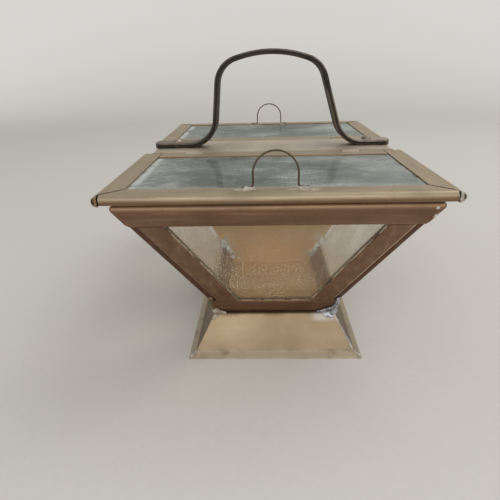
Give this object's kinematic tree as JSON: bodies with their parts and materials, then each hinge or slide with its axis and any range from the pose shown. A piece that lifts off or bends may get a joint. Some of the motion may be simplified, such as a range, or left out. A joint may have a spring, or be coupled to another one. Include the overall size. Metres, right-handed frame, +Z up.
{
  "type": "candle lantern",
  "caption": "Basket-shaped brass and glass candle lantern with splayed glazed walls, a flared foot, hinged glazed lids with wire pulls and an arched carrying handle.",
  "frame": {"origin": "on the ground under the middle of the foot", "axes": "+Z up, +Y along the length from the front lid to the rear lid, +X to the right seen from the front"},
  "size_m": [0.15, 0.226, 0.1525],
  "materials": {
    "aged_brass": "aged satin, browner where it faces down",
    "sheet_brass": "rubbed satin sheet",
    "dark_brass": "dark brown patina",
    "loop_wire": "satin wire",
    "rivet": "worn bright on the crown",
    "pane": "clear, a little dusty"
  },
  "bodies": {
    "body": {"foot_pan": "sheet_brass", "partition": "sheet_brass", "bridge": "sheet_brass", "handle": "dark_brass", "handle_rivets": "rivet", "front_hinge_pin": "aged_brass", "rear_hinge_pin": "aged_brass", "front_bottom_rail": "aged_brass", "front_top_rail": "aged_brass", "front_left_stile": "aged_brass", "front_right_stile": "aged_brass", "front_glass": "pane", "rear_bottom_rail": "aged_brass", "rear_top_rail": "aged_brass", "rear_left_stile": "aged_brass", "rear_right_stile": "aged_brass", "rear_glass": "pane", "left_bottom_rail": "aged_brass", "left_top_rail": "aged_brass", "left_left_stile": "aged_brass", "left_right_stile": "aged_brass", "left_glass": "pane", "right_bottom_rail": "aged_brass", "right_top_rail": "aged_brass", "right_left_stile": "aged_brass", "right_right_stile": "aged_brass", "right_glass": "pane"},
    "front_lid": {"front_lid_free_rail": "aged_brass", "front_lid_left_rail": "aged_brass", "front_lid_right_rail": "aged_brass", "front_lid_hinge_rail": "aged_brass", "front_lid_glass": "pane", "front_lid_pull_loop": "loop_wire"},
    "rear_lid": {"rear_lid_free_rail": "aged_brass", "rear_lid_left_rail": "aged_brass", "rear_lid_right_rail": "aged_brass", "rear_lid_hinge_rail": "aged_brass", "rear_lid_glass": "pane", "rear_lid_pull_loop": "loop_wire"}
  },
  "joints": [
    {"name": "front_lid_hinge", "type": "hinge", "parent": "body", "child": "front_lid", "pos_m": [0, -0.0218, 0.0951], "axis": [-1, 0, 0], "range_deg": [0, 90]},
    {"name": "rear_lid_hinge", "type": "hinge", "parent": "body", "child": "rear_lid", "pos_m": [0, 0.0218, 0.0951], "axis": [1, 0, 0], "range_deg": [0, 90]}
  ]
}
